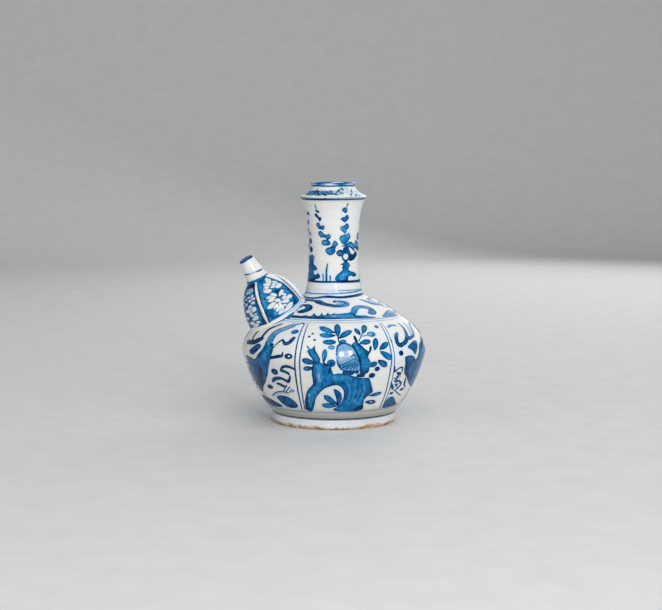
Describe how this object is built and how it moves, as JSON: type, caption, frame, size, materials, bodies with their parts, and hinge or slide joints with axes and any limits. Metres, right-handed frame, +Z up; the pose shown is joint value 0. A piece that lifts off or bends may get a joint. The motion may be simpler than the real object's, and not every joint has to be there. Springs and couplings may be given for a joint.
{
  "type": "kendi",
  "caption": "Blue-and-white porcelain kendi: round body on a foot ring, tall flared neck with flanged mouth, and a ribbed bulb spout with a short nozzle for drinking or pouring.",
  "frame": {"origin": "centre of the foot ring on the table", "axes": "+Z up along the neck, spout towards -X, +Y away from the side that the front panel faces"},
  "size_m": [0.1487, 0.1462, 0.19],
  "materials": {
    "glazed_body": "glossy clear glaze over cobalt-blue painting on white porcelain",
    "glazed_neck": "glossy clear glaze over cobalt-blue painting on white porcelain",
    "glazed_spout": "glossy clear glaze over blue-ground painting on white porcelain",
    "slip_seam": "slip bead under thin greyish glaze",
    "biscuit_foot": "glazed outside, bare gritty porcelain on the standing edge"
  },
  "bodies": {
    "root": {"foot_ring": "biscuit_foot", "lower_body": "glazed_body", "upper_body": "glazed_body", "girth_lute": "slip_seam", "neck": "glazed_neck", "neck_lute": "slip_seam", "mouth_flange": "glazed_neck", "lip_ring": "glazed_neck", "spout_bulb": "glazed_spout", "spout_nozzle": "glazed_spout", "spout_ribs": "glazed_spout", "spout_lute": "slip_seam"}
  },
  "joints": []
}
